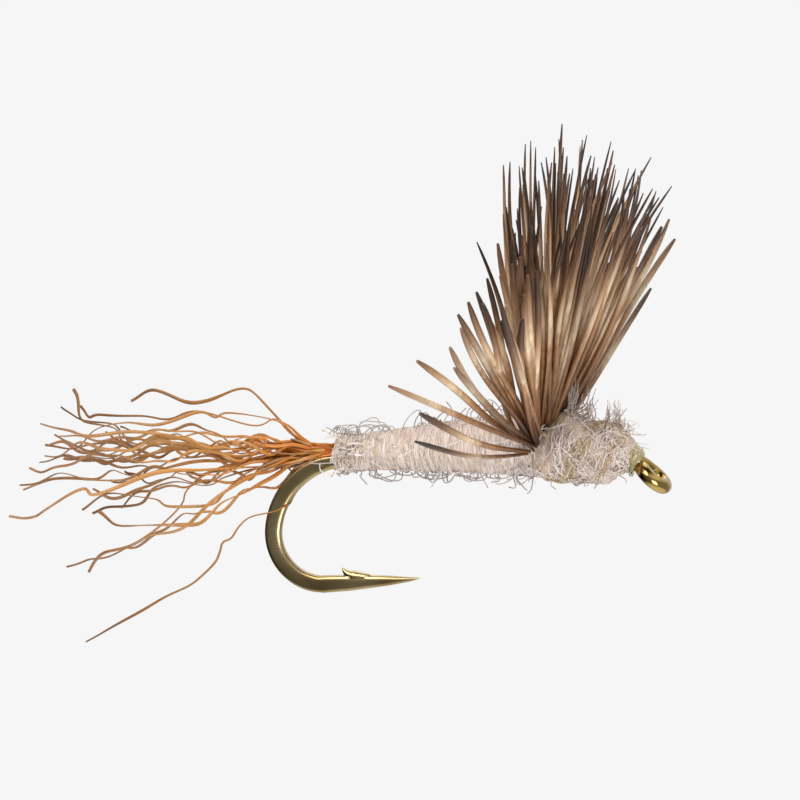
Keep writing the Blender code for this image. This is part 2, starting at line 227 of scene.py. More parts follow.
hook_radii = np.where(on_spear, np.interp(x, SPEAR_TAPER[:, 0], SPEAR_TAPER[:, 1]), hook_radii)
hook_points = laid_points(points_of(wire_strand), hook_line, hook_radii) / MM
# Forging: the sides of the bend are pressed in, with a soft shoulder where the flat ends.
below = hook_points[:, 2] < FLATS_FULL_BELOW
depth = np.clip((FLATS_START - hook_points[:, 0]) / FLATS_RUN, 0, 1)
depth = np.where(below, 1, depth)
limit = ROUND_HALF + (FLAT_HALF - ROUND_HALF) * depth * depth * (3 - 2 * depth)
side = hook_points[:, 1] / limit
pressed = FULLNESS * np.sign(side) * (np.abs(side) ** -SHOULDER + 1) ** (-1 / SHOULDER) * limit
forged = (hook_points[:, 0] < FLATS_START) | below
hook_points[:, 1] = np.where(forged & (np.abs(side) > 0.02), pressed, hook_points[:, 1])
hook = own_mesh(wire_strand, "hook_wire", hook_points * MM)

barb_strand = straight_strand("barb_strand", 16, (23,))
barb_line = even_steps(smooth_line(BARB), ring_count(barb_strand))
barb_radii = np.interp(barb_line[:, 0], BARB_TAPER[:, 0], BARB_TAPER[:, 1])
barb = own_mesh(barb_strand, "barb", laid_points(points_of(barb_strand), barb_line, barb_radii))
barb_union = hook.modifiers.new("barb", "BOOLEAN")
barb_union.object = barb
barb_union.operation = "UNION"
barb_union.solver = "EXACT"
apply_all(hook)
for helper in (barb, barb_strand, wire_strand):
    bpy.data.objects.remove(helper)
bpy.ops.object.shade_smooth_by_angle(angle=math.radians(75))


def screen_colour(red, green, blue):
    """A colour given by its values on a screen, as a shader takes it."""
    made = [((c / 255 + 0.055) / 1.055) ** 2.4 if c > 10 else c / 3294.6 for c in (red, green, blue)]
    return (*made, 1)


class Finish:
    """A material with one Principled BSDF, and short ways to add the nodes that drive it."""

    def __init__(self, name, roughness, metallic=0.0):
        self.material = bpy.data.materials.new(name)
        self.material.use_nodes = True
        self.nodes = self.material.node_tree.nodes
        self.links = self.material.node_tree.links
        self.shader = self.nodes["Principled BSDF"]
        self.shader.inputs["Roughness"].default_value = roughness
        self.shader.inputs["Metallic"].default_value = metallic

    def set(self, **values):
        for name, value in values.items():
            self.shader.inputs[name.replace("_", " ")].default_value = value

    def drive(self, socket, source):
        self.links.new(source, self.shader.inputs[socket])

    def object_place(self, scale=(1, 1, 1)):
        place = self.nodes.new("ShaderNodeTexCoord")
        return self.mapped(place.outputs["Object"], scale)

    def strand_place(self, scale=(1, 1, 1)):
        place = self.nodes.new("ShaderNodeUVMap")
        place.uv_map = "strand"
        return self.mapped(place.outputs["UV"], scale)

    def mapped(self, source, scale):
        mapping = self.nodes.new("ShaderNodeMapping")
        mapping.inputs["Scale"].default_value = scale
        self.links.new(source, mapping.inputs["Vector"])
        return mapping.outputs["Vector"]

    def noise(self, place, scale, detail):
        made = self.nodes.new("ShaderNodeTexNoise")
        made.inputs["Scale"].default_value = scale
        made.inputs["Detail"].default_value = detail
        self.links.new(place, made.inputs["Vector"])
        return made.outputs["Fac"]

    def split(self, place):
        made = self.nodes.new("ShaderNodeSeparateXYZ")
        self.links.new(place, made.inputs["Vector"])
        return made.outputs

    def maths(self, operation, first, second):
        made = self.nodes.new("ShaderNodeMath")
        made.operation = operation
        for socket, value in zip(made.inputs, (first, second)):
            if isinstance(value, (int, float)):
                socket.default_value = value
            else:
                self.links.new(value, socket)
        return made.outputs["Value"]

    def ramp(self, source, stops):
        made = self.nodes.new("ShaderNodeValToRGB")
        elements = made.color_ramp.elements
        while len(elements) < len(stops):
            elements.new(0.5)
        for element, (place, colour) in zip(elements, stops):
            element.position = place
            element.color = colour
        self.links.new(source, made.inputs["Fac"])
        return made.outputs["Color"]

    def mix(self, share, first, second, blend="MIX"):
        made = self.nodes.new("ShaderNodeMix")
        made.data_type = "RGBA"
        made.blend_type = blend
        sockets = [made.inputs[0], made.inputs[6], made.inputs[7]]
        for socket, value in zip(sockets, (share, first, second)):
            if isinstance(value, (int, float, tuple)):
                socket.default_value = value
            else:
                self.links.new(value, socket)
        return made.outputs[2]

    def relief(self, height, depth_mm, strength):
        made = self.nodes.new("ShaderNodeBump")
        made.inputs["Distance"].default_value = depth_mm * MM
        made.inputs["Strength"].default_value = strength
        self.links.new(height, made.inputs["Height"])
        self.drive("Normal", made.outputs["Normal"])


def grey(value):
    return (value, value, value, 1)


bronze = Finish("bronzed_wire", 0.16, metallic=1.0)
patches = bronze.noise(bronze.object_place(), 420, 3)
drawn = bronze.noise(bronze.object_place((1, 3, 3)), 1200, 2)
satin = bronze.ramp(patches, [(0.35, screen_colour(152, 130, 86)), (0.65, screen_colour(206, 186, 142))])
bright = bronze.ramp(patches, [(0.3, screen_colour(150, 120, 60)), (0.7, screen_colour(192, 162, 98))])
# The bronze is bright round the eye, and satin along the shank and the bend.
from_eye = bronze.maths("MULTIPLY", bronze.split(bronze.object_place())["X"], -1 / (3 * MM))
tone = bronze.mix(bronze.ramp(from_eye, [(0.2, grey(0.0)), (0.9, grey(1.0))]), bright, satin)
drawn_lines = bronze.ramp(drawn, [(0.3, grey(0.25)), (0.7, grey(1.0))])
bronze.drive("Base Color", bronze.mix(0.18, tone, drawn_lines, "MULTIPLY"))
bronze.drive("Roughness", bronze.ramp(from_eye, [(0.2, grey(0.13)), (0.9, grey(0.27))]))
hook.data.materials.clear()
hook.data.materials.append(bronze.material)
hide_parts("hook")
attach(hook, "root")

# -----------------------------------------------------------------------------
# Thread under the dressing. Fine waxed tying thread, wound side by side: a base on the shank, and the wraps
# that bind down the tail, the butts of the wing and the dam that props the wing upright.
# -----------------------------------------------------------------------------
thread = Finish("tying_thread", 0.45)
plies = thread.noise(thread.object_place((6, 1, 1)), 9000, 2)
tone = thread.ramp(plies, [(0.3, screen_colour(120, 112, 66)), (0.7, screen_colour(186, 178, 122))])
thread.drive("Base Color", tone)
thread.relief(plies, 0.004, 0.6)
for node in ("thread_base_layer", "tail_thread_wraps", "wing_thread_wraps", "wing_thread_dam"):
    bpy.data.objects[node].data.materials.clear()
    bpy.data.objects[node].data.materials.append(thread.material)

# -----------------------------------------------------------------------------
# Tail. Crinkled amber yarn, teased out into flat strands and bound in by its roots on top of the shank. The
# strands spread backwards, and one more hangs down past the bend and trails away below.
# -----------------------------------------------------------------------------
TAIL_ROOT = (-8.84, 0.58)
TAIL_NECK = (-9.4, 0.62)
TAIL_SPREAD = 1.1
SHORT_STRANDS = 26
# The strands that stand clear of the others, each by its places (x, z) from the root outwards.
CLEAR_STRANDS = (
    (
        (-10.2, 0.99), (-10.76, 1.5), (-11.32, 2.1), (-11.89, 2.26), (-12.92, 1.89), (-13.52, 1.86),
        (-14.5, 2.16), (-15.24, 1.84),
    ),
    (
        (-10.3, 0.86), (-12.3, 0.61), (-13.54, 0.69), (-14.5, 0.45), (-15.03, 0.8), (-15.3, 1.23),
        (-16.21, 1.43), (-16.3, 1.95), (-16.43, 2.34),
    ),
    (
        (-9.9, 0.95), (-10.5, 1.42), (-11.99, 1.65), (-12.4, 1.54), (-12.92, 1.67), (-14.07, 1.31),
        (-15.03, 1.38), (-15.84, 1.16), (-16.46, 0.64), (-17.3, 0.74),
    ),
    (
        (-10.1, 0.88), (-10.75, 1.45), (-11.37, 1.26), (-13.17, 1.61), (-13.95, 1.37), (-14.78, 1.43),
        (-16.15, 1.43), (-16.52, 1.38), (-16.76, 1.7),
    ),
    (
        (-10.44, 0.72), (-11.68, 0.47), (-12.8, 0.76), (-13.29, 1.0), (-14.53, 1.17), (-15.77, 1.07),
        (-16.46, 1.22), (-17.2, 1.43),
    ),
    (
        (-11.68, 0.3), (-12.92, 0.7), (-13.79, 0.87), (-14.91, 0.68), (-15.28, 0.92), (-15.59, 1.22),
        (-16.64, 1.37), (-17.17, 1.71),
    ),
    (
        (-11.06, 0.25), (-12.92, 0.27), (-14.78, -0.17), (-15.53, -0.05), (-16.09, -0.3),
        (-17.33, -0.31), (-18.23, -0.65),
    ),
    (
        (-11.06, 0.17), (-12.61, 0.09), (-14.16, -0.04), (-15.77, -0.63), (-16.15, -0.45),
        (-17.2, -1.04), (-17.58, -1.27), (-18.26, -1.24),
    ),
    (
        (-11.06, 0.11), (-12.3, -0.21), (-12.8, -0.47), (-13.91, -0.43), (-14.53, -0.62),
        (-15.03, -1.11), (-15.9, -1.2), (-16.52, -1.41),
    ),
    (
        (-11.37, 0.04), (-12.05, -0.51), (-12.55, -0.91), (-13.66, -0.95), (-14.16, -0.74),
        (-15.4, -0.6), (-16.15, -1.05),
    ),
    (
        (-9.9, 0.42), (-10.74, -0.1), (-11.46, -0.51), (-12.29, -0.9), (-13.0, -1.5), (-13.98, -1.53),
        (-15.3, -1.58), (-15.9, -1.19),
    ),
    (
        (-10.4, 0.45), (-12.4, 0.05), (-13.38, -0.52), (-13.64, -1.03), (-14.38, -1.73), (-15.33, -2.3),
        (-16.1, -2.5), (-16.56, -3.05),
    ),
    (
        (-10.4, 0.35), (-12.2, -0.6), (-13.2, -1.5), (-14.3, -1.8), (-15.2, -2.28), (-15.9, -2.42),
        (-16.5, -2.62),
    ),
)
# The others, each by its tip (x, z) and the rise of its middle above a straight line.
TANGLED_TIPS = (
    (-17.22, 0.05, 0.2),
    (-17.59, 0.22, -0.1),
    (-17.79, 0.14, 0.1),
    (-17.70, 0.47, 0.1),
    (-17.19, 0.57, 0.3),
    (-17.30, 0.80, -0.2),
    (-16.20, -0.77, -0.1),
)
GOLDEN_ANGLE = math.pi * (3 - math.sqrt(5))
chance = np.random.default_rng(16)


def clear_line(knots, sideways, count):
    """A strand through its own places, which spreads sideways as it leaves the thread."""
    flat = np.array([TAIL_ROOT, TAIL_NECK, *knots])
    flat[0] += (0, chance.uniform(-0.12, 0.12))
    flat[1] += (0, chance.uniform(-0.14, 0.14))
    share = (flat[0, 0] - flat[:, 0]) / (flat[0, 0] - flat[-1, 0])
    depth = 0.14 * sideways + sideways * share**1.4
    line = smooth_line(np.stack([flat[:, 0], depth, flat[:, 1]], axis=1), 8)
    run = np.linspace(0, 1, len(line))
    for axis, size in ((1, 0.04), (2, 0.012)):
        start, turns = chance.uniform(0, 6.3), chance.uniform(5, 9)
        line[:, axis] += size * np.clip(run / 0.15, 0, 1) * np.sin(2 * math.pi * turns * run + start)
    return even_steps(line, count)


def tangled_line(tip, sideways, bow, count):
    """A strand that waves as crinkled yarn does, in a few broad swings with smaller ones on them."""
    root = np.array([TAIL_ROOT[0], 0.14 * sideways, TAIL_ROOT[1] + chance.uniform(-0.13, 0.13)])
    share = np.linspace(0, 1, 120)
    line = root + (np.array([tip[0], sideways, tip[1]]) - root) * share[:, None]
    grow = np.clip(share / 0.2, 0, 1) ** 1.3
    turns = chance.uniform(2.3, 4.0)
    for axis, size in ((1, 0.15), (2, 0.16)):
        start, drift = chance.uniform(0, 2 * math.pi, 2)
        phase = 2 * math.pi * turns * share + start
        swing = np.sin(phase + 1.2 * np.sin(2 * math.pi * 0.9 * share + drift))
        swing += 0.28 * np.sin(2 * math.pi * 2.6 * turns * share + drift)
        line[:, axis] += size * grow * swing
    line[:, 2] += bow * np.sin(math.pi * share)
    return even_steps(line, count)


def merged(strand, name, laid, numbers, reach=1.0):
    """One mesh of many copies of the strand. Its UV map holds each copy's number and the share along it.
    A copy whose reach is under 1 has lost its end, so its shares stop there."""
    share = points_of(strand)[:, 2]
    count = len(share)
    polygons = [list(polygon.vertices) for polygon in strand.data.polygons]
    faces = []
    for copy in range(len(laid)):
        faces += [[index + copy * count for index in polygon] for polygon in polygons]
    mesh = bpy.data.meshes.new(name)
    mesh.from_pydata(np.vstack(laid).tolist(), [], faces)
    corner = np.empty(len(mesh.loops), np.int32)
    mesh.loops.foreach_get("vertex_index", corner)
    layer = mesh.uv_layers.new(name="strand")
    number = np.repeat(np.asarray(numbers, float), count)
    along = np.tile(share, len(laid)) * np.repeat(np.broadcast_to(reach, len(laid)), count)
    uv = np.stack([number[corner], along[corner]], axis=1)
    layer.data.foreach_set("uv", uv.astype(np.float32).ravel())
    mesh.shade_smooth()
    mesh.set_sharp_from_angle(angle=math.radians(50))
    made = bpy.data.objects.new(name, mesh)
    bpy.context.scene.collection.objects.link(made)
    return made


amber = Finish("amber_yarn", 0.36)
along = amber.split(amber.strand_place())
gloss_lines = amber.noise(amber.object_place((1, 3, 3)), 2600, 3)
root_share = amber.maths("ADD", along["Y"], amber.maths("MULTIPLY", gloss_lines, 0.22))
tone = amber.ramp(
    root_share,
    [
        (0.10, screen_colour(190, 94, 10)),
        (0.3, screen_colour(202, 124, 42)),
        (0.55, screen_colour(204, 146, 80)),
        (0.85, screen_colour(178, 128, 76)),
        (1.0, screen_colour(152, 108, 68)),
    ],
)
each = amber.ramp(along["X"], [(0.0, grey(0.68)), (0.5, grey(0.92)), (1.0, grey(1.12))])
amber.drive("Base Color", amber.mix(1.0, tone, each, "MULTIPLY"))
amber.set(Coat_Weight=0.12, Coat_Roughness=0.2, Specular_IOR_Level=0.3, Subsurface_Weight=0.1)
amber.shader.inputs["Subsurface Radius"].default_value = (0.00008, 0.00004, 0.00002)
amber.relief(gloss_lines, 0.006, 0.5)


def yarn(strand, name, lines, widths, node=None):
    """Strands that belong together: each is a flat ribbon that turns over along its length."""
    count = ring_count(strand)
    share = np.linspace(0, 1, count)
    laid = []
    for line, width in zip(lines, widths):
        uneven = 1 + 0.14 * np.sin(chance.uniform(9, 22) * share + chance.uniform(0, 6))
        radius = width * (1 - 0.2 * share) * uneven
        flat, twist, turn = chance.uniform(0.35, 0.55), chance.uniform(2, 9), chance.uniform(0, 3)
        laid.append(laid_points(points_of(strand), line, radius, flat, twist, turn))
    made = merged(strand, name, laid, chance.uniform(0, 1, len(laid)))
    made.data.materials.append(amber.material)
    if node:
        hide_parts(node)
    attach(made, "root")


yarn_strand = straight_strand("yarn_strand", 8, (9, 9))
rings = ring_count(yarn_strand)
clear = len(CLEAR_STRANDS)
for number in range(clear + len(TANGLED_TIPS)):
    sideways = TAIL_SPREAD * math.sin(GOLDEN_ANGLE * number + 1.1)
    if number < clear:
        knots = CLEAR_STRANDS[number]
        tip_x, tip_z = knots[-1]
        lines = [clear_line(knots, sideways, rings)]
    else:
        tip_x, tip_z, bow = TANGLED_TIPS[number - clear]
        lines = [tangled_line((tip_x, tip_z), sideways, bow, rings)]
    widths = [chance.uniform(0.048, 0.064)]
    # Most have a finer partner nearer the middle of the tail, where the strands cross and cling together.
    if number % 3:
        partner = (tip_x + chance.uniform(0.0, 1.4), 0.25 + (tip_z - 0.25) * chance.uniform(0.35, 0.95))
        lines.append(tangled_line(partner, 0.8 * sideways, chance.uniform(-0.3, 0.3), rings))
        widths.append(chance.uniform(0.04, 0.054))
    yarn(yarn_strand, f"tail_strands_{number + 1:02d}", lines, widths, f"tail_fibre_{number + 1:02d}")
# Short ends fill the root, where the whole bundle is gathered under the thread.
short_lines = []
for _ in range(SHORT_STRANDS):
    start, end = chance.uniform(-0.17, 0.17, 2), chance.uniform(-0.42, 0.42, 2)
    reach = chance.uniform(0.9, 2.4)
    knots = [(TAIL_ROOT[0], start[0], TAIL_ROOT[1] - 0.04 + 1.3 * start[1])]
    for share in (0.3, 0.65, 1.0):
        drift = start + (end - start) * share + chance.normal(0, 0.035, 2)
        x = TAIL_ROOT[0] - reach * share
        knots.append((x, drift[0], TAIL_ROOT[1] + drift[1] - 0.07 * reach * share))
    short_lines.append(even_steps(smooth_line(knots), rings))
yarn(yarn_strand, "tail_short_strands", short_lines, chance.uniform(0.042, 0.062, len(short_lines)))
# One strand comes down behind the bend, crosses over its near flat, and trails off with a kink or two.
STRAY = (
    (-8.9, 0.2, 0.52),
    (-9.3, 0.27, 0.2),
    (-9.9, 0.27, -0.2),
    (-10.25, 0.22, -0.68),
    (-10.33, 0.0, -0.90),
    (-10.46, -0.24, -0.97),
    (-10.72, -0.27, -1.09),
    (-11.35, -0.4, -1.23),
    (-11.66, -0.5, -1.48),
    (-11.9, -0.52, -1.82),
    (-12.14, -0.55, -1.94),
    (-12.22, -0.58, -2.2),
    (-12.36, -0.6, -2.5),
    (-12.75, -0.57, -2.88),
    (-13.15, -0.53, -3.18),
    (-13.87, -0.48, -3.52),
    (-14.56, -0.43, -3.92),
    (-15.39, -0.38, -4.37),
    (-15.93, -0.34, -4.68),
    (-16.3, -0.3, -4.88),
)
stray_line = even_steps(smooth_line(STRAY), rings)
yarn(yarn_strand, "stray_strand", [stray_line], [0.042], "stray_tail_fibre")
bpy.data.objects.remove(yarn_strand)

# -----------------------------------------------------------------------------
# Abdomen. Pale pinkish fur, spun onto the thread and wound as a close rope from the bend to the wing. Its
# turns lie nearly square to the shank. The fur is felted where it is tight, and loose fibres curl out of it.
# -----------------------------------------------------------------------------
# Stations along the shank: x, height of the middle, radius.
ABDOMEN = np.array(
    [
        (-8.96, 0.52, 0.38),
        (-8.84, 0.53, 0.44),
        (-7.74, 0.63, 0.51),
        (-6.62, 0.70, 0.60),
        (-5.48, 0.78, 0.70),
        (-4.5, 0.83, 0.80),
        (-4.1, 0.83, 0.80),
        (-3.5, 0.72, 0.66),
        (-3.1, 0.60, 0.55),
    ]
)
ROPE_PITCH = 0.34
ROPE_LUMPS = 26
# Where loose fibres leave a body, as angles round it from the top.
ALL_ROUND = (0, 1, 2, 3, 4, 5)
BOTH_SIDES = (1.6, -1.6)
UNDER = (math.pi, math.pi - 0.5, math.pi + 0.5)
OVER = (0.0, 0.35, -0.35)
# The rearmost turns are so thin that the thread shows: place, height and radius where they end.
THREAD_SHOWS_TO = (-8.3, 0.57, 0.48)


def wound_body(name, stations, sides, cuts, ridge, lumps, seed):
    """A felted body of revolution along the shank, with the rope's ridges and its uneven lumps."""
    rope = straight_strand("rope", sides, cuts)
    count = ring_count(rope)
    x = np.linspace(stations[0, 0], stations[-1, 0], count)
    z = np.interp(x, stations[:, 0], stations[:, 1])
    line = np.stack([x, 0 * x, z], axis=1)
    radii = np.interp(x, stations[:, 0], stations[:, 2])
    ends = np.minimum(np.arange(count), np.arange(count)[::-1]) / 3
    radii = radii * np.clip(0.7 + 0.3 * ends, 0, 1)
    points = laid_points(points_of(rope), line, radii) / MM
    middle = np.interp(points[:, 0], x, z)
    out = points[:, 1:] - np.stack([0 * middle, middle], axis=1)
    angle = np.arctan2(out[:, 0], out[:, 1])
    wave = ridge * np.cos(2 * math.pi * points[:, 0] / ROPE_PITCH + angle)
    rng = np.random.default_rng(seed)
    for _ in range(ROPE_LUMPS):
        turns, per_mm = rng.integers(0, 6), rng.uniform(1, 8)
        start = rng.uniform(0, 2 * math.pi)
        wave += lumps * rng.normal() * np.sin(turns * angle + per_mm * points[:, 0] + start) / 3
    reach = np.linalg.norm(out, axis=1)
    scale = 1 + wave / np.maximum(reach, 0.2)
    points[:, 1] = out[:, 0] * scale
    points[:, 2] = middle + out[:, 1] * scale
    body = own_mesh(rope, name, points * MM)
    bpy.data.objects.remove(rope)
    return body


def on_body(stations, x, angle, lift):
    """Points on a body at these places along it and angles round it from the top."""
    radius = np.interp(x, stations[:, 0], stations[:, 2]) + lift
    middle = np.interp(x, stations[:, 0], stations[:, 1])
    return np.stack([x, radius * np.sin(angle), middle + radius * np.cos(angle)], axis=-1)


felt = Finish("felted_fur", 0.9)
cross = felt.noise(felt.object_place((8, 1.6, 1.6)), 2400, 5)
clouds = felt.noise(felt.object_place(), 850, 3)
tone = felt.ramp(cross, [(0.3, screen_colour(188, 164, 144)), (0.6, screen_colour(220, 204, 192))])
warm = felt.ramp(clouds, [(0.42, grey(0.0)), (0.68, grey(0.7))])
tone = felt.mix(warm, tone, screen_colour(206, 176, 148))
# The fur thins out towards the bend, where the olive thread shows between its turns.
along_body = felt.maths("MULTIPLY", felt.split(felt.object_place())["X"], 1 / (9 * MM))
thin = felt.ramp(felt.maths("ADD", along_body, 1.5), [(0.5, grey(0.85)), (0.66, grey(0.0))])
felt.drive("Base Color", felt.mix(thin, tone, screen_colour(142, 130, 90)))
felt.set(Sheen_Weight=0.3, Sheen_Roughness=0.5)
felt.relief(cross, 0.03, 0.7)
abdomen = wound_body("abdomen_fur", ABDOMEN, sides=64, cuts=(11, 19), ridge=0.008, lumps=0.014, seed=5)
abdomen.data.materials.clear()
abdomen.data.materials.append(felt.material)
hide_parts("abdomen_dubbing")
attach(abdomen, "root")

# A fibre's number picks its colour: loose ones are lilac-grey, then pinkish white, and the last are tan.
fibre = Finish("fur_fibre", 0.55)
number = fibre.split(fibre.strand_place())["X"]
fibre.drive(
    "Base Color",
    fibre.ramp(
        number,
        [
            (0.0, screen_colour(160, 150, 146)),
            (0.2, screen_colour(194, 183, 179)),
            (0.35, screen_colour(202, 182, 166)),
            (0.6, screen_colour(244, 233, 228)),
            (0.8, screen_colour(222, 202, 184)),
            (0.9, screen_colour(206, 180, 134)),
            (1.0, screen_colour(190, 162, 110)),
        ],
    ),
)
fibre.set(Sheen_Weight=0.2, Subsurface_Weight=0.1)
fibre.shader.inputs["Subsurface Radius"].default_value = (0.00003, 0.00002, 0.00002)
fur_strand = straight_strand("fur_strand", 3, (11,))
fur_rings = ring_count(fur_strand)
fur_unit = points_of(fur_strand)
fur_share = np.linspace(0, 1, fur_rings)


def wrapped_fibres(stations, count, seed, lean, spread, wrap, lift, girth):
    """Fibres that lie on a body, wound round it with the rope."""
    rng = np.random.default_rng(seed)
    laid = []
    for _ in range(count):
        x = rng.uniform(stations[0, 0] + 0.05, stations[-1, 0] - 0.05)
        sweep = rng.uniform(*wrap) * rng.choice((-1, 1))
        slope = (lean + spread * rng.normal()) * abs(sweep)
        bend = 0.06 * rng.normal() * np.sin(math.pi * fur_share)
        angle = rng.uniform(0, 2 * math.pi) + sweep * fur_share
        height = lift * rng.uniform(0.1, 1.0) * np.sin(math.pi * np.clip(fur_share, 0.06, 0.94)) ** 0.5
        line = on_body(stations, x + slope * (fur_share - 0.5) + bend, angle, height)
        laid.append(laid_points(fur_unit, line, rng.uniform(*girth)))
    return laid


def looped_fibres(stations, count, seed, reach, angles, wander, girth):
    """Loose fibres that leave a body in wide soft bows: some come back to it, and some end in the air."""
    rng = np.random.default_rng(seed)
    laid = []
    share = fur_share[:, None]
    for _ in range(count):
        x = rng.uniform(stations[0, 0] + 0.05, stations[-1, 0] - 0.1)
        angle = rng.choice(angles) + rng.normal(0, wander)
        foot = on_body(stations, x, angle, -0.04)
        out = np.array([0, math.sin(angle), math.cos(angle)])
        along = np.array([rng.choice((-1, 1)), 0, 0]) + rng.normal(0, 0.4, 3)
        along -= (along @ out) * out
        along /= np.linalg.norm(along)
        height, run = rng.uniform(*reach), rng.uniform(0.25, 0.95)
        if rng.random() < 0.55:
            bow = np.sin(math.pi * share ** rng.uniform(0.8, 1.25))
            line = foot + out * height * bow + along * run * (share - 0.16 * np.sin(2 * math.pi * share))
        else:
            turn = rng.uniform(0.8, 3.2)
            radius = 1.3 * height / turn
            line = foot + out * radius * np.sin(turn * share) + along * radius * (1 - np.cos(turn * share))
            line = line + out * 0.35 * height * share
        sway = rng.normal(0, 0.06, 3) * np.sin(2 * math.pi * rng.uniform(0.8, 1.6) * share)
        laid.append(laid_points(fur_unit, even_steps(line + sway, fur_rings), rng.uniform(*girth)))
    return laid


def fleece(name, laid, seed, low, high):
    """One piece of all these fibres, with numbers from low to high that pick their colours."""
    numbers = np.random.default_rng(seed).uniform(low, high, len(laid))
    made = merged(fur_strand, name, laid, numbers)
    made.data.materials.append(fibre.material)
    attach(made, "root")


laid = wrapped_fibres(
    ABDOMEN, 1900, seed=21, lean=0.0, spread=0.09, wrap=(0.5, 1.8), lift=0.035, girth=(0.01, 0.016)
)
fleece("abdomen_wound_fibres", laid, seed=22, low=0.35, high=0.84)
rear = ABDOMEN[:3].copy()
rear[-1] = THREAD_SHOWS_TO
laid = looped_fibres(rear, 46, seed=27, reach=(0.05, 0.3), angles=ALL_ROUND, wander=0.5, girth=(0.017, 0.024))
fleece("abdomen_rear_fibres", laid, seed=28, low=0.15, high=0.6)
laid = looped_fibres(ABDOMEN, 74, seed=23, reach=(0.1, 0.42), angles=UNDER, wander=0.3, girth=(0.017, 0.023))
fleece("abdomen_hanging_loops", laid, seed=24, low=0.0, high=0.25)
laid = looped_fibres(
    ABDOMEN[:7], 42, seed=25, reach=(0.15, 0.5), angles=OVER, wander=0.3, girth=(0.017, 0.023)
)
fleece("abdomen_upper_curls", laid, seed=26, low=0.0, high=0.25)
laid = looped_fibres(
    ABDOMEN, 80, seed=29, reach=(0.04, 0.2), angles=BOTH_SIDES, wander=0.5, girth=(0.009, 0.014)
)
fleece("abdomen_side_curls", laid, seed=30, low=0.3, high=0.8)

# -----------------------------------------------------------------------------
# Thorax. The same fur in front of the wing, wound loosely in crossing turns, so that it is shaggy. Tufts
# stand up behind the head, bands of tanner fibres run slantwise, and curls cling to the foot of the wing.
# -----------------------------------------------------------------------------
THORAX = np.array(
    [
        (-3.35, 0.62, 0.52),
        (-2.9, 0.66, 0.70),
        (-2.5, 0.80, 0.90),
        (-2.15, 0.80, 0.84),
        (-1.75, 0.68, 0.76),
        (-1.4, 0.64, 0.78),
        (-1.0, 0.72, 0.64),
        (-0.75, 0.66, 0.46),
        (-0.55, 0.56, 0.3),
    ]
)
# Each band by its place along the body at its side, its width and its number of fibres.
TAN_BANDS = ((-3.0, 0.10, 120), (-1.9, 0.12, 170), (-1.05, 0.06, 70))
BAND_SLOPE = 0.42
BANDS_FROM, BANDS_TO = -3.2, -0.7
# Each tuft by its place along the body, height, lean forward and number of fibres.
TUFTS = (
    (-2.45, 1.3, 0.3, 26),
    (-2.25, 1.0, 0.5, 12),
    (-1.85, 0.75, 0.14, 12),
    (-1.3, 0.72, 0.16, 14),
    (-1.05, 0.8, 0.16, 12),
    (-0.85, 0.6, 0.2, 12),
)
# Where fur is carried up round the foot of the wing: x, height of the middle, radius.
COLLAR = np.array([(-3.75, 0.80, 0.70), (-3.1, 0.95, 0.62), (-2.6, 0.95, 0.75)])
COLLAR_SIDES = (-1.3, -0.7, 0.7, 1.3)


def tuft_fibres(tufts, seed):
    """Locks of fur that stand on the thorax, gathered towards their tips."""
    rng = np.random.default_rng(seed)
    laid = []
    share = fur_share[:, None]
    for x, height, lean, count in tufts:
        for _ in range(count):
            angle = rng.normal(0, 0.3)
            foot = on_body(THORAX, x + rng.normal(0, 0.16), angle, -0.05)
            tip_x = x + lean + rng.normal(0, 0.12)
            tip = on_body(THORAX, tip_x, 0.4 * angle, height * rng.uniform(0.5, 1.0))
            gather = np.array([x + 0.6 * lean, 0.0, 0.0]) - [foot[0], foot[1], 0]
            line = foot + (tip - foot) * share + gather * 0.4 * np.sin(math.pi * share)
            line = line + rng.normal(0, 0.05, 3) * np.sin(2 * math.pi * rng.uniform(0.7, 1.4) * share)
            taper = rng.uniform(0.016, 0.024) * (1 - 0.45 * fur_share)
            laid.append(laid_points(fur_unit, even_steps(line, fur_rings), taper))
    return laid


def banded_fibres(stations, bands, seed):
    """Fibres that keep together in slanting bands."""
    rng = np.random.default_rng(seed)
    laid = []
    for x, width, count in bands:
        for _ in range(count):
            start, sweep = rng.uniform(-2.6, 1.4), rng.uniform(0.5, 1.3)
            climb = start + sweep * fur_share
            place = x + rng.normal(0, width) + BAND_SLOPE * climb
            place = place + 0.03 * rng.normal() * np.sin(4 * fur_share)
            height = rng.uniform(0.06, 0.13) * np.sin(math.pi * np.clip(fur_share, 0.06, 0.94)) ** 0.5
            angle = rng.choice((-1, 1)) * (0.5 * math.pi - climb)
            line = on_body(stations, np.clip(place, BANDS_FROM, BANDS_TO), angle, height)
            laid.append(laid_points(fur_unit, line, rng.uniform(0.012, 0.019)))
    return laid


thorax = wound_body("thorax_fur", THORAX, sides=64, cuts=(9, 11), ridge=0.02, lumps=0.035, seed=8)
thorax.data.materials.clear()
thorax.data.materials.append(felt.material)
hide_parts("thorax_dubbing")
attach(thorax, "root")
laid = wrapped_fibres(
    THORAX, 1200, seed=31, lean=0.15, spread=0.5, wrap=(0.3, 1.1), lift=0.11, girth=(0.011, 0.018)
)
fleece("thorax_wound_fibres", laid, seed=32, low=0.42, high=0.82)
fleece("thorax_tan_fibres", banded_fibres(THORAX, TAN_BANDS, seed=33), seed=34, low=0.8, high=1.0)
laid = looped_fibres(
    THORAX, 130, seed=35, reach=(0.04, 0.22), angles=ALL_ROUND, wander=0.5, girth=(0.012, 0.017)
)
fleece("thorax_curls", laid, seed=36, low=0.35, high=0.75)
laid = looped_fibres(THORAX, 22, seed=37, reach=(0.08, 0.35), angles=UNDER, wander=0.3, girth=(0.015, 0.02))
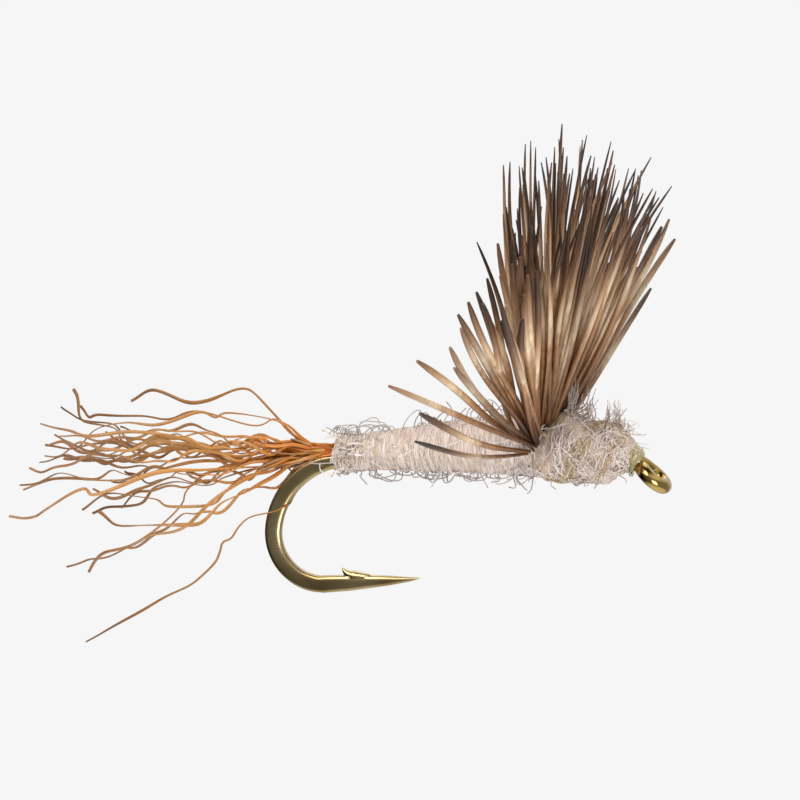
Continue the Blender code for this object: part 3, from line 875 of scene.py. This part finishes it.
fleece("thorax_hanging_loops", laid, seed=38, low=0.0, high=0.3)
fleece("thorax_tufts", tuft_fibres(TUFTS, seed=39), seed=40, low=0.15, high=0.5)
laid = looped_fibres(
    COLLAR, 60, seed=41, reach=(0.1, 0.4), angles=COLLAR_SIDES, wander=0.35, girth=(0.012, 0.018)
)
fleece("wing_foot_curls", laid, seed=42, low=0.2, high=0.6)

# -----------------------------------------------------------------------------
# Wing. Deer hair, stacked so that its tips are even, bound down by its butts along the shank and propped up
# into a fan. Each hair is hollow and swells above the thread, then runs out to a fine dark tip.
# -----------------------------------------------------------------------------
WING_FOOT = np.array([-3.14, 0.0, 0.84])
HAIR_LENGTH = 8.85
# Towards the sides, from this angle of fan and over this many degrees, the hairs lean back and get shorter.
SIDES_FROM = 22
SIDES_RUN = 34
SIDE_LEAN = -6
SHORTER_AT_SIDES = 0.2
# Hairs that lean forward past this angle are shorter by so much for each degree, and so are those behind.
FRONT_FROM = 14
SHORTER_IN_FRONT = 0.06
SHORTER_BEHIND = 0.15
# Past this angle of fan the tips are worn blunt, and the dark tip is mostly gone.
BLUNT_FROM = 38
BLUNT_REACH = 0.9
# Rows of hairs as they lie on the shank: locks, half the angle they fan, lean, place of the foot above it.
HAIR_ROWS = ((7, 44, 22, -0.14), (7, 40, 16, -0.07), (6, 34, 10, 0.0), (4, 26, 4, 0.07), (2, 14, -1, 0.14))
HAIRS_IN_LOCK = 5
MORE_IN_SIDE_LOCK = 3
SIDE_LOCKS_FROM = 0.6
# The hairs at the sides of the fan stand clear of the others: fan, lean and length of each.
NEAR_HAIRS = (
    (-81, -13, 7.1),
    (-75, -14, 7.1),
    (-70, -19, 7.3),
    (-66, -13, 7.4),
    (-67, -6, 7.3),
    (-61, -7, 7.5),
    (-58, -4, 7.4),
    (-56, -6, 7.6),
    (-54, -4, 7.6),
    (-55, 1, 7.6),
    (-50, 0, 7.7),
    (-52, 3, 7.5),
    (-46, 5, 7.4),
    (-41, 0, 7.9),
    (-43, 4, 7.6),
    (-39, 4, 7.9),
)
FAR_HAIRS = (
    (25, 9, 8.2),
    (35, 17, 8.5),
    (41, 19, 8.3),
    (46, 17, 8.4),
    (50, 16, 8.3),
    (56, 10, 8.3),
    (60, 12, 8.0),
    (58, 4, 7.6),
    (66, 2, 7.6),
    (72, -4, 7.3),
    (78, -8, 7.2),
)

deer = Finish("deer_hair", 0.4)
along = deer.split(deer.strand_place())
streaks = deer.noise(deer.object_place((1, 1, 0.12)), 5200, 4)
# The bands of colour come a little higher or lower on each hair.
shift = deer.maths("MULTIPLY", deer.maths("SUBTRACT", along["X"], 0.5), 0.3)
place_on_hair = deer.maths("ADD", along["Y"], shift)
place_on_hair = deer.maths("ADD", place_on_hair, deer.maths("MULTIPLY", streaks, 0.08))
tone = deer.ramp(
    place_on_hair,
    [
        (0.04, screen_colour(66, 38, 20)),
        (0.16, screen_colour(112, 72, 40)),
        (0.34, screen_colour(150, 106, 68)),
        (0.5, screen_colour(184, 138, 96)),
        (0.63, screen_colour(246, 218, 182)),
        (0.74, screen_colour(192, 152, 116)),
        (0.86, screen_colour(116, 80, 54)),
        (1.0, screen_colour(66, 46, 34)),
    ],
)
# Some hairs are darker than others, in no order with that shift.
own = deer.maths("FRACT", deer.maths("MULTIPLY", along["X"], 37.3), 0)
each = deer.ramp(own, [(0.0, grey(0.62)), (0.5, grey(0.9)), (1.0, grey(1.2))])
tone = deer.mix(1.0, tone, each, "MULTIPLY")
lines = deer.ramp(streaks, [(0.3, grey(0.5)), (0.7, grey(1.25))])
deer.drive("Base Color", deer.mix(0.5, tone, lines, "MULTIPLY"))
deer.set(Coat_Weight=0.1, Coat_Roughness=0.3, Specular_IOR_Level=0.4, Subsurface_Weight=0.15)
deer.shader.inputs["Subsurface Radius"].default_value = (0.00006, 0.00004, 0.00003)
deer.relief(streaks, 0.006, 0.4)

hair_strand = straight_strand("hair_strand", 8, (21,))
hair_rings = ring_count(hair_strand)
hair_unit = points_of(hair_strand)
chance = np.random.default_rng(77)


def hair_line(fan, lean, length, foot, bow):
    """A hair's free part: it leaves the thread lower than it ends, and bows a little on the way."""
    fan, lean = math.radians(fan), math.radians(lean)
    way = np.array([math.sin(lean), math.sin(fan) * math.cos(lean), math.cos(fan) * math.cos(lean)])
    share = np.linspace(0, 1, 40)[:, None]
    sag = np.array([bow[0], 0.0, -0.25 * abs(math.sin(fan))]) * np.sin(math.pi * share)
    kink = np.array([bow[1], 0.5 * bow[0], 0.0]) * np.clip((share - 0.55) / 0.45, 0, 1) ** 2
    kink += np.array([bow[2], 0.5 * bow[1], 0.0]) * 0.6 * np.sin(2 * math.pi * share)
    return even_steps(foot + way * length * share + sag + kink, hair_rings)


def hair_width(full, blunt):
    """A hair's thickness along it. The tips of the side hairs are worn blunt."""
    share = np.linspace(0, 1, hair_rings)
    if blunt:
        places = (0, 0.1, 0.35, 0.6, 0.82, 0.93, 1.0)
        return full * np.interp(share, places, (0.5, 0.62, 0.92, 1.05, 1.02, 0.92, 0.45))
    places = (0, 0.1, 0.3, 0.48, 0.62, 0.74, 0.84, 0.95, 1.0)
    return full * np.interp(share, places, (0.5, 0.62, 0.85, 0.96, 0.94, 0.78, 0.6, 0.44, 0.2))


lock = 0
for row, (count, half_fan, row_lean, height) in enumerate(HAIR_ROWS):
    for place_in_row in range(count):
        across = 2 * place_in_row / (count - 1) - 1
        hairs = []
        for _ in range(HAIRS_IN_LOCK + MORE_IN_SIDE_LOCK * (abs(across) > SIDE_LOCKS_FROM)):
            fan = half_fan * across + chance.normal(0, 5)
            side = min(max(abs(fan) - SIDES_FROM, 0) / SIDES_RUN, 1)
            lean = row_lean + (SIDE_LEAN - 0.85 * row_lean) * side + chance.normal(0, 3)
            length = HAIR_LENGTH * (1 - SHORTER_AT_SIDES * side) * chance.uniform(0.84, 1.0)
            length -= SHORTER_IN_FRONT * max(lean - FRONT_FROM, 0) + SHORTER_BEHIND * max(-lean, 0)
            hairs.append((fan, lean, length))
        if abs(across) == 1:
            hairs += (NEAR_HAIRS if across < 0 else FAR_HAIRS)[row :: len(HAIR_ROWS)]
        laid = []
        for fan, lean, length in hairs:
            slant = math.sin(math.radians(fan))
            rise = height + 0.05 * chance.normal() - 0.1 * abs(slant)
            foot = WING_FOOT + (0.3 * height, 0.24 * slant, rise)
            foot[0] += chance.normal(0, 0.08)
            line = hair_line(fan, lean, length, foot, chance.normal(0, 0.13, 3))
            blunt = abs(fan) > BLUNT_FROM
            width = hair_width(chance.uniform(0.064, 0.094) + 0.018 * blunt, blunt)
            flat, turn = chance.uniform(0.75, 1.0), chance.uniform(0, 3)
            laid.append(laid_points(hair_unit, line, width, flat, turn=turn))
        lock += 1
        reach = [BLUNT_REACH if abs(fan) > BLUNT_FROM else 1.0 for fan, _, _ in hairs]
        made = merged(hair_strand, f"wing_lock_{lock:02d}", laid, chance.uniform(0, 1, len(laid)), reach)
        made.data.materials.append(deer.material)
        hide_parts(f"wing_hair_{lock:02d}")
        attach(made, "root")
bpy.data.objects.remove(hair_strand)
bpy.data.objects.remove(fur_strand)

# -----------------------------------------------------------------------------
# Head. Turns of the same thread, heaped behind the eye and set with a drop of clear varnish.
# -----------------------------------------------------------------------------
varnished = Finish("varnished_thread", 0.22)
plies = varnished.noise(varnished.object_place((6, 1, 1)), 9000, 2)
tone = varnished.ramp(plies, [(0.3, screen_colour(132, 116, 70)), (0.7, screen_colour(206, 194, 148))])
varnished.drive("Base Color", tone)
varnished.set(Coat_Weight=0.9, Coat_Roughness=0.08)
head = bpy.data.objects["head_thread_wraps"]
head.data.materials.clear()
head.data.materials.append(varnished.material)

# -----------------------------------------------------------------------------
# Studio. A pale floor far below and pale air all round, three soft lights, and a camera with a long lens that
# looks at the fly from its side, from a little in front and above.
# -----------------------------------------------------------------------------
PALE = screen_colour(246, 246, 246)
FLOOR_Z = -0.12
AIM = Vector((-7.10, 0.0, 2.045)) * MM
CAMERA_AZIMUTH = math.radians(14)
CAMERA_ELEVATION = math.radians(6)
CAMERA_ROLL = math.radians(-1.0)
FRAME_WIDTH = 22.155 * MM
LENS = 200
SENSOR = 36
# How bright the air is that lights the fly, each by the share of the way across and its strength there.
AIR_FROM_LEFT_TO_RIGHT = ((0.0, 0.0), (0.68, 0.0), (0.82, 0.35), (1.0, 0.5))
AIR_FROM_FRONT_TO_BACK = ((0.0, 0.25), (0.12, 0.18), (0.24, 0.0), (0.62, 0.0), (0.84, 0.25), (0.95, 1.0))
AIR_FROM_BELOW_TO_ABOVE = (
    (0.0, 1.5),
    (0.1, 1.3),
    (0.19, 0.1),
    (0.3, 0.0),
    (0.64, 0.0),
    (0.74, 0.8),
    (0.85, 0.9),
    (0.94, 0.05),
)

bpy.ops.object.select_all(action="DESELECT")
bpy.ops.mesh.primitive_plane_add(size=3, location=(0, 0, FLOOR_Z))
floor = bpy.context.object
floor.name = "studio_floor"
paper = bpy.data.materials.new("pale_paper")
paper.use_nodes = True
nodes, links = paper.node_tree.nodes, paper.node_tree.links
shader = nodes["Principled BSDF"]
shader.inputs["Base Color"].default_value = grey(0.0)
shader.inputs["Roughness"].default_value = 1.0
shader.inputs["Specular IOR Level"].default_value = 0.0
shader.inputs["Emission Color"].default_value = PALE
shader.inputs["Emission Strength"].default_value = 1.0
floor.data.materials.append(paper)
floor.visible_diffuse = False
floor.visible_glossy = False

world = bpy.data.worlds.new("studio_air")
bpy.context.scene.world = world
world.use_nodes = True
nodes, links = world.node_tree.nodes, world.node_tree.links
seen = nodes["Background"]
seen.inputs["Color"].default_value = PALE
seen.inputs["Strength"].default_value = 1.0
# The air lights the fly from behind, above, below and the right, and is dark between them.
around = nodes.new("ShaderNodeTexCoord")
ways = nodes.new("ShaderNodeSeparateXYZ")
links.new(around.outputs["Generated"], ways.inputs["Vector"])
lit = nodes.new("ShaderNodeBackground")
total = None
ramps = {"X": AIR_FROM_LEFT_TO_RIGHT, "Y": AIR_FROM_FRONT_TO_BACK, "Z": AIR_FROM_BELOW_TO_ABOVE}
for way, stops in ramps.items():
    spread = nodes.new("ShaderNodeMapRange")
    spread.inputs["From Min"].default_value = -1
    links.new(ways.outputs[way], spread.inputs["Value"])
    dim = nodes.new("ShaderNodeValToRGB")
    while len(dim.color_ramp.elements) < len(stops):
        dim.color_ramp.elements.new(0.5)
    for element, (place, value) in zip(dim.color_ramp.elements, stops):
        element.position = place
        element.color = grey(value)
    links.new(spread.outputs["Result"], dim.inputs["Fac"])
    together = nodes.new("ShaderNodeMath")
    together.inputs[1].default_value = 0
    links.new(dim.outputs["Color"], together.inputs[0])
    if total:
        links.new(total, together.inputs[1])
    total = together.outputs["Value"]
links.new(total, lit.inputs["Strength"])
path = nodes.new("ShaderNodeLightPath")
either = nodes.new("ShaderNodeMixShader")
links.new(path.outputs["Is Camera Ray"], either.inputs["Fac"])
links.new(lit.outputs["Background"], either.inputs[1])
links.new(seen.outputs["Background"], either.inputs[2])
links.new(either.outputs["Shader"], nodes["World Output"].inputs["Surface"])


def soft_light(name, place, size, power):
    data = bpy.data.lights.new(name, "AREA")
    data.size = size
    data.energy = power
    light = bpy.data.objects.new(name, data)
    light.location = place
    light.rotation_euler = (AIM - Vector(place)).to_track_quat("-Z", "Y").to_euler()
    bpy.context.scene.collection.objects.link(light)


soft_light("key_light", (-0.05, -0.10, 0.11), size=0.10, power=0.19)
soft_light("fill_light", (0.06, -0.12, -0.04), size=0.08, power=0.11)
soft_light("back_light", (-0.02, 0.09, 0.14), size=0.12, power=0.08)

camera_data = bpy.data.cameras.new("camera")
camera_data.lens = LENS
camera_data.sensor_width = SENSOR
distance = FRAME_WIDTH * LENS / SENSOR
back = Vector(
    (
        math.sin(CAMERA_AZIMUTH) * math.cos(CAMERA_ELEVATION),
        -math.cos(CAMERA_AZIMUTH) * math.cos(CAMERA_ELEVATION),
        math.sin(CAMERA_ELEVATION),
    )
)
camera_data.clip_start = 0.01
camera_data.clip_end = 10
camera = bpy.data.objects.new("camera", camera_data)
camera.location = AIM + back * distance
turned = (-back).to_track_quat("-Z", "Y").to_matrix() @ Matrix.Rotation(CAMERA_ROLL, 3, "Z")
camera.rotation_euler = turned.to_euler()
bpy.context.scene.collection.objects.link(camera)
bpy.context.scene.camera = camera
bpy.context.scene.view_settings.view_transform = "Standard"
